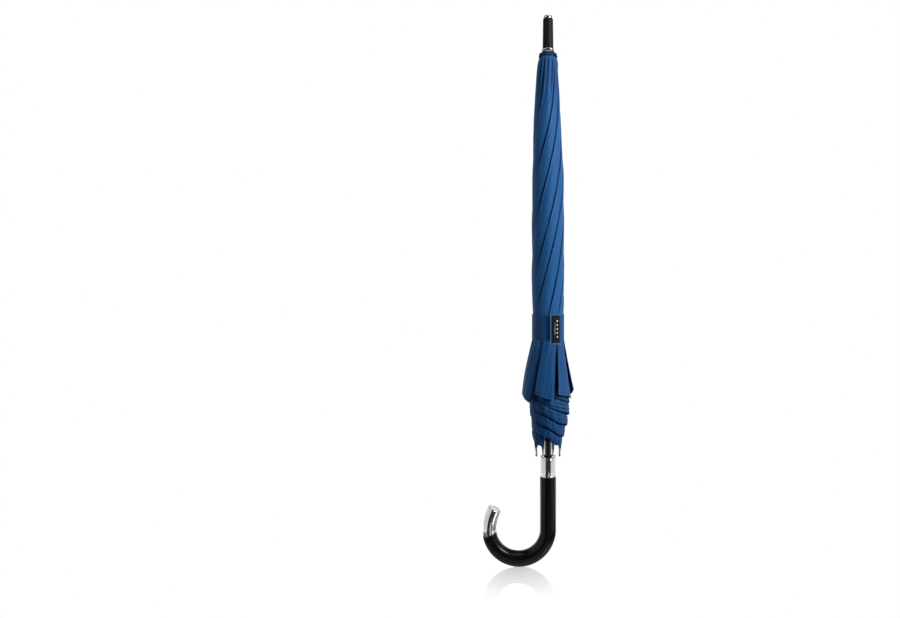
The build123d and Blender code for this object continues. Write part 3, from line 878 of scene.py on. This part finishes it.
def labelMaterial():
    # black satin with a woven column of plain diamonds beside a dashed line
    g = Graph(bpy.data.materials.new("label_woven_satin"))
    u, v, _ = g.split(g.node("ShaderNodeUVMap", {"uv_map": "cloth"}, {}, "UV"))
    cell = (v * 7.0).math("FRACT") - 0.5
    inRows = v.step(0.13, 0.14) * (1 - v.step(0.86, 0.87))
    diamond = (u - 0.64).math("ABSOLUTE") * 5.2 + cell.math("ABSOLUTE") * 1.9
    mark = (1 - diamond.step(0.42, 0.55)) * inRows
    dash = ((v * 26.0).math("FRACT")).step(0.45, 0.55)
    line = (1 - ((u - 0.36).math("ABSOLUTE")).step(0.018, 0.03)) * dash
    line = line * v.step(0.26, 0.27) * (1 - v.step(0.73, 0.74))
    marks = (mark + line * 0.8).clamp()
    satin = g.noise(1.0, 2.0, g.stretched((1500, 1500, 300)))
    return g.set(
        BaseColor=g.mixColour(marks, (0.003, 0.003, 0.004, 1), (0.8, 0.8, 0.76, 1)),
        Roughness=satin * 0.2 + 0.5,
        SpecularLevel=0.15,
        Normal=g.bump(satin + marks * 1.5, 0.3, 0.08),
    )


def makeLabel(s):
    # thin patch on the tab, its edges bent in to the cloth
    bottom = strapFoot - s["tabDrop"] + s["labelMargin"] + 1.0
    top = strapTop - 0.6
    rim = s["tabRadius"] + 0.42
    ends = s["labelStart"], s["labelEnd"]
    radius, bearing, height, u, v = bandPoints(rim, *ends, bottom, top, 36, 60)
    edge = np.minimum(np.minimum(u, 1 - u) * 13, np.minimum(v, 1 - v) * (top - bottom))
    radius = radius - 0.25 * smoothStep(0.5, 0, edge)
    uv = np.stack([u + 0 * v, 1 - v + 0 * u], axis=-1)
    points = aroundAxis(radius, bearing, height)
    piece = meshFromGrid("strap_label_patch", points, flip=True, uv=uv, material=labelMaterial())
    thicken(piece, s["labelThickness"])
    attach(piece, "strap_flap")
    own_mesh(piece)
    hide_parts("strap_label")
    return piece


makeStrap(strap)
tab = makeTab(strap)
label = makeLabel(strap)
print("strap done")

# handle
handle = {
    "straight": 84.0,
    "bendRadius": 46.6,
    "bendTurn": 185.0,
    "endRadius": 75.0,
    "endTurn": 23.0,
    "armRadius": 10.9,
    "tipRadius": 11.2,
    "seamBack": 15.0,
    "seamShift": 0.4,
    "seamTilt": 22.0,
    "startBevel": (1.2, 0.35),  # rounded start of the grip, and the ring half way round it
    "tuckedIn": 2.0,            # how far the grip reaches in under the collar
    "seamInset": 0.9,
    "capStep": 0.35,
    "capInset": 1.4,
    "rimRadius": 1.3,
    # share of the way inwards and depth, for each ring of the dished end
    "dish": [(0.1, 0.55), (0.25, 0.7), (0.6, 0.5), (0.85, 0.36), (0.999, 0.33)],
    "sides": 72,
}


def crookLine(length, s):
    # point, heading and tube radius at a distance along the handle's centre line
    bend = s["bendRadius"] * radians(s["bendTurn"])
    tight = np.clip(length - s["straight"], 0, bend) / s["bendRadius"]
    slack = np.clip(length - s["straight"] - bend, 0, None) / s["endRadius"]
    drop = np.minimum(length, s["straight"])
    x = -s["bendRadius"] + s["bendRadius"] * np.cos(tight)
    z = collarFoot - drop - s["bendRadius"] * np.sin(tight)
    x = x + s["endRadius"] * (np.cos(tight + slack) - np.cos(tight))
    z = z - s["endRadius"] * (np.sin(tight + slack) - np.sin(tight))
    angle = tight + slack
    share = np.degrees(tight) / s["bendTurn"]
    end = np.degrees(slack) / s["endTurn"]
    radius = gripRadius + (s["armRadius"] - gripRadius) * share ** 2
    radius = radius + (s["tipRadius"] - s["armRadius"]) * end
    return x, z, angle, radius


def crookPoint(length, around, s, inset=0.0):
    # ring point: outwards from the bend's centre by cos, sideways by sin
    x, z, angle, radius = crookLine(length, s)
    out = (radius - inset) * np.cos(around)
    side = (radius - inset) * np.sin(around)
    return np.stack([x + out * np.cos(angle), side + 0 * x, z - out * np.sin(angle)], axis=-1)


def seamLength(around, s, inset=0.0):
    # distance along the handle at which each side meets the slanted seam, by halving
    bend = s["bendRadius"] * radians(s["bendTurn"] - s["seamBack"])
    x, z, _, _ = crookLine(s["straight"] + bend, s)
    middle = np.array([x - s["seamShift"], 0, z])
    tilt = radians(s["seamTilt"])
    normal = np.array([-sin(tilt), 0, cos(tilt)])
    low = np.full(around.shape, s["straight"] + bend * 0.8)
    high = np.full(around.shape, s["straight"] + bend + 25.0)
    for _ in range(40):
        centre = (low + high) / 2
        past = (crookPoint(centre, around, s, inset) - middle) @ normal > 0
        high = np.where(past, centre, high)
        low = np.where(past, low, centre)
    return (low + high) / 2


def makeGrip(s):
    # rings along the crook from under the collar to the seam, rounded at the start
    ring = (np.arange(s["sides"]) * 2 * pi / s["sides"])[None, :]
    seam = seamLength(ring[0], s)[None, :]
    v = np.linspace(0, 1, 190)[:, None]
    bevel, half = s["startBevel"]
    start = np.zeros((1, s["sides"]))
    rows = [
        crookPoint(start, ring, s, gripRadius - collarRadius + s["tuckedIn"]),
        crookPoint(start, ring, s, bevel),
        crookPoint(start + half, ring, s, half),
        crookPoint(bevel + v * (seam - bevel), ring + 0 * v, s),
        crookPoint(seam - 0.05, ring, s, s["seamInset"]),
    ]
    piece = meshFromGrid("crook_grip", np.concatenate(rows), wrap=True, material=gripLacquer)
    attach(piece, "root")
    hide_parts("handle_grip")


def makeEndCap(s):
    # polished sleeve from the slanted seam to a rolled rim round a dished end: rings at
    # distances along the crook, then three eighths of a turn for the rim, then the dish
    rim, step = s["rimRadius"], s["capStep"]
    rimTurn = pi * 0.75
    ring = (np.arange(s["sides"]) * 2 * pi / s["sides"])[None, :]
    seam = seamLength(ring[0], s, step)[None, :]
    end = s["straight"] + s["bendRadius"] * radians(s["bendTurn"])
    end = end + s["endRadius"] * radians(s["endTurn"])
    v = np.linspace(0, 1, 70)[:, None]
    rows = [crookPoint(seam - 0.6, ring, s, inset) for inset in (s["capInset"], step)]
    rows.append(crookPoint(seam + v * (end - rim - seam), ring + 0 * v, s, step))
    for t in np.linspace(0, 1, 8)[1:]:
        a = t * rimTurn
        roll = np.full((1, s["sides"]), end - rim + rim * sin(a))
        rows.append(crookPoint(roll, ring, s, step + rim * (1 - cos(a))))
    last = step + rim * (1 - cos(rimTurn))
    for share, dish in s["dish"]:
        inset = last + (s["tipRadius"] - last) * share
        rows.append(crookPoint(np.full((1, s["sides"]), end - dish), ring, s, inset))
    piece = meshFromGrid("crook_end_sleeve", np.concatenate(rows), wrap=True, material=chrome)
    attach(piece, "root")
    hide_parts("crook_end_cap")


makeGrip(handle)
makeEndCap(handle)

# turned parts: collar, ferrule, cap
turned = {
    "steps": 72,
    "bore": 5.3,            # inner radius round the shaft
    "collarWall": 1.0,
    "collarCup": 7.0,
    "grooveDepth": (0.25, 0.3),
    "ferruleTop": 7.9,
    "capLift": 2.2,
    "rosetteInner": 11.6,
    "rosetteWaves": (0.35, 0.3),
}


def makeTurned(name, corners, radii, material, replaced):
    # a turned part: soft-cornered profile round the shaft's axis
    grid = latheGrid(softProfile(corners, radii), turned["steps"])
    piece = meshFromGrid(name, grid, wrap=True, flip=True, material=material)
    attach(piece, "root")
    if replaced:
        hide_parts(replaced)


def makeCollar(s):
    # cup with a groove under its rim and one above its foot
    r = collarRadius
    wall = r - s["collarWall"]
    floor = collarTop - s["collarCup"]
    upper, lower = s["grooveDepth"]
    corners = [
        (6.0, collarFoot), (r, collarFoot), (r, collarFoot + 2.0), (r - lower, collarFoot + 2.3),
        (r, collarFoot + 2.6), (r, collarTop - 3.6), (r - upper, collarTop - 3.3),
        (r, collarTop - 3.0), (r, collarTop), (wall, collarTop), (wall, floor), (6.0, floor),
    ]
    radii = [0.3, 0.5, 0.2, 0.2, 0.2, 0.2, 0.2, 0.2, 0.4, 0.4, 0.3]
    makeTurned("collar_tube", corners, radii, chrome, "handle_collar")


def makeFerrule(s):
    # tapered sleeve with a small step at its foot, and a domed button on it
    foot, top = nodeHigh("ferrule", 0), s["ferruleTop"]
    corners = [
        (s["bore"], ferruleFoot), (foot, ferruleFoot), (foot - 0.05, ferruleFoot + 2.0),
        (foot - 0.45, ferruleFoot + 2.5), (top, ferruleTop - 1.6), (top - 1.4, ferruleTop),
        (3.0, ferruleTop),
    ]
    radii = [0.5, 0.3, 0.3, 0.9, 0.6]
    makeTurned("ferrule_cone", corners, radii, ferrulePlastic, "ferrule")
    tip, crown = nodeHigh("ferrule_tip", 0), nodeHigh("ferrule_tip", 2)
    corners = [
        (2.9, ferruleTop - 0.5), (tip, ferruleTop - 0.5), (tip, crown - 2.0),
        (tip * 0.8, crown - 0.7), (tip * 0.4, crown - 0.12), (0.01, crown),
    ]
    makeTurned("ferrule_button", corners, [0.3, 1.3, 1.2, 1.2], chrome, "ferrule_tip")


def makeCap(s):
    # a dished cap over the canopy's gathered top, with a plated washer on it
    rim = nodeHigh("canopy_cap", 0)
    foot, top = capFoot, capTop - s["capLift"]
    corners = [
        (s["bore"], foot + 3.4), (8.6, foot + 2.8), (rim - 1.3, foot + 0.2), (rim - 0.3, foot),
        (rim, foot + 0.7), (10.4, top - 1.2), (9.6, top - 0.6), (s["bore"], top - 0.6),
    ]
    radii = [0.5, 0.3, 0.3, 0.4, 0.5, 0.3]
    makeTurned("hub_cap", corners, radii, capPlastic, "canopy_cap")
    washer = [
        (s["bore"], top - 1.0), (10.3, top - 1.4), (10.0, top + 0.2), (9.2, top + 1.1),
        (s["bore"], top + 1.1),
    ]
    makeTurned("cap_washer", washer, [0.3, 0.5, 0.4], chrome, None)


def makeRosette(s):
    # ruffle of canopy cloth under the cap: a short flared skirt with shallow waves at its hem
    inner = s["rosetteInner"]
    rim = nodeHigh("canopy_cap", 0) + 0.4
    across, down = s["rosetteWaves"]
    turn = np.arange(120)[None, :] * 2 * pi / 120
    v = np.linspace(0, 1, 14)[:, None]
    radius = inner + (rim - inner) * np.sin(v * pi / 2) ** 0.8
    radius = radius + across * v * np.sin(turn * 11 + 1.5 * np.sin(turn * 3))
    height = capFoot + 1.0 - 4.6 * v ** 1.3 + down * v * np.sin(turn * 7 + 0.6)
    # painted shade: the ruffle under the cap is darkened most of the way towards the painted shade
    # colour
    values = {"painted_shade": 0.72 + 0.1 * np.sin(turn * 11) + 0 * v}
    points = aroundAxis(radius, turn + 0 * v, height)
    piece = meshFromGrid("cap_rosette", points, wrap=True, flip=True, values=values, material=cloth)
    thicken(piece, 0.4)
    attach(piece, "root")
    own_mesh(piece)


makeCollar(turned)
makeFerrule(turned)
makeCap(turned)
makeRosette(turned)
print("handle and ferrule done")


# stage
stage = {
    "white": (1, 1, 1, 1),
    "floorRings": [0.5, 60, 150, 300, 600, 1000, 1500, 2200],
    "floorGap": 0.6,        # below the crook
    "aimTop": 0.33,         # highest point that a light aims at, in metres
    "skyLight": 0.035,      # all-round light on the object, which the camera sees as white
    "floorGlow": 0.5,
    "glowReach": (0.08, 0.15),
    "mirror": 0.42,         # floor's reflection where the crook stands
    "mirrorReach": 0.118,
    "standsAt": -46.6,
    # bearing, distance, height, width and height, brightness of the panel
    "lights": [
        ("keyRight", -36, 1150, 900, (300, 700), 26.0),
        ("broadLeft", -165, 1500, 450, (2400, 2100), 0.66),
        ("broadRight", -12, 1500, 450, (2200, 2100), 0.72),
        ("behindLeft", 127, 1700, 350, (2200, 2100), 0.85),
        ("behindRight", 53, 1700, 350, (2200, 2100), 0.85),
        ("above", -90, 300, 2100, (1500, 1500), 1.3),
        # low panels that only the crook's plated end reflects
        ("lowStrip", -76, 1200, -467, (230, 240), 1.1),
        ("lowLeft", -155, 1200, -467, (1300, 240), 0.2),
        ("lowBack", 140, 1200, -467, (800, 240), 0.8),
        ("lowRight", -28, 1200, -467, (1000, 240), 0.36),
    ],
}


def whiteToTheEye(g, lighting, white):
    # one shader for what is seen directly or in the polished floor, another for what lights
    # the object
    direct = g.node("ShaderNodeLightPath", {}, {}, "Is Camera Ray")
    mirrored = g.node("ShaderNodeLightPath", {}, {}, "Is Singular Ray")
    return g.node("ShaderNodeMixShader", {}, [direct.math("MAXIMUM", mirrored), lighting, white])


def makeWorld(s):
    # even surroundings: dim as a light, white to the camera
    world = bpy.data.worlds.new("studio")
    bpy.context.scene.world = world
    g = Graph(world)
    g.tree.nodes.clear()
    sky = g.node("ShaderNodeBackground", {}, {"Color": s["white"], "Strength": s["skyLight"]})
    bright = g.node("ShaderNodeBackground", {}, {"Color": s["white"], "Strength": 1.0})
    g.node("ShaderNodeOutputWorld", {}, [whiteToTheEye(g, sky, bright)])


def makeFloor(s):
    # flat disc in rings; white, with a polish that fades away from where the crook stands
    turn = np.arange(96) * 2 * pi / 96
    radius = np.array(s["floorRings"])[:, None]
    height = crookFoot - s["floorGap"] + 0 * radius * turn
    points = aroundAxis(radius + 0 * turn, turn + 0 * radius, height)
    g = Graph(bpy.data.materials.new("floor_white_polish"))
    g.tree.nodes.remove(g.shader)
    stands = (s["standsAt"] * mm, 0, crookFoot * mm)
    offset = g.node("ShaderNodeVectorMath", {"operation": "SUBTRACT"}, [g.place(), stands])
    far = g.node("ShaderNodeVectorMath", {"operation": "LENGTH"}, [offset], "Value")
    polish = ((1 - far / s["mirrorReach"]).clamp()) ** 1.15 * s["mirror"]
    glow = g.node("ShaderNodeEmission", {}, {"Color": s["white"], "Strength": s["floorGlow"]})
    clear = g.node("ShaderNodeBsdfTransparent", {}, {})
    lighting = g.node("ShaderNodeMixShader", {}, [far.step(*s["glowReach"]), glow, clear])
    bright = g.node("ShaderNodeEmission", {}, {"Color": s["white"], "Strength": 1.0})
    seen = whiteToTheEye(g, lighting, bright)
    gloss = g.node("ShaderNodeBsdfAnisotropic", {}, {"Color": s["white"], "Roughness": 0.0})
    surface = g.node("ShaderNodeMixShader", {}, [polish, seen, gloss])
    g.put(g.tree.nodes["Material Output"].inputs[0], surface)
    meshFromGrid("floor", points, wrap=True, material=g.owner)


def softBox(name, bearing, distance, height, size, brightness):
    # soft light at a bearing round the object, turned to its axis
    data = bpy.data.lights.new(name, "AREA")
    data.shape = "RECTANGLE"
    data.size, data.size_y = size[0] * mm, size[1] * mm
    data.energy = brightness * pi * data.size * data.size_y
    light = bpy.data.objects.new(name, data)
    bpy.context.collection.objects.link(light)
    place = Vector((distance * cos(radians(bearing)), distance * sin(radians(bearing)), height)) * mm
    light.visible_camera = False
    light.location = place
    aim = Vector((0, 0, min(height * mm, stage["aimTop"])))
    light.rotation_euler = (aim - place).to_track_quat("-Z", "Y").to_euler()


makeWorld(stage)
makeFloor(stage)
for name, *where in stage["lights"]:
    softBox(name, *where)
bpy.context.scene.view_settings.view_transform = "Standard"
print("stage done")
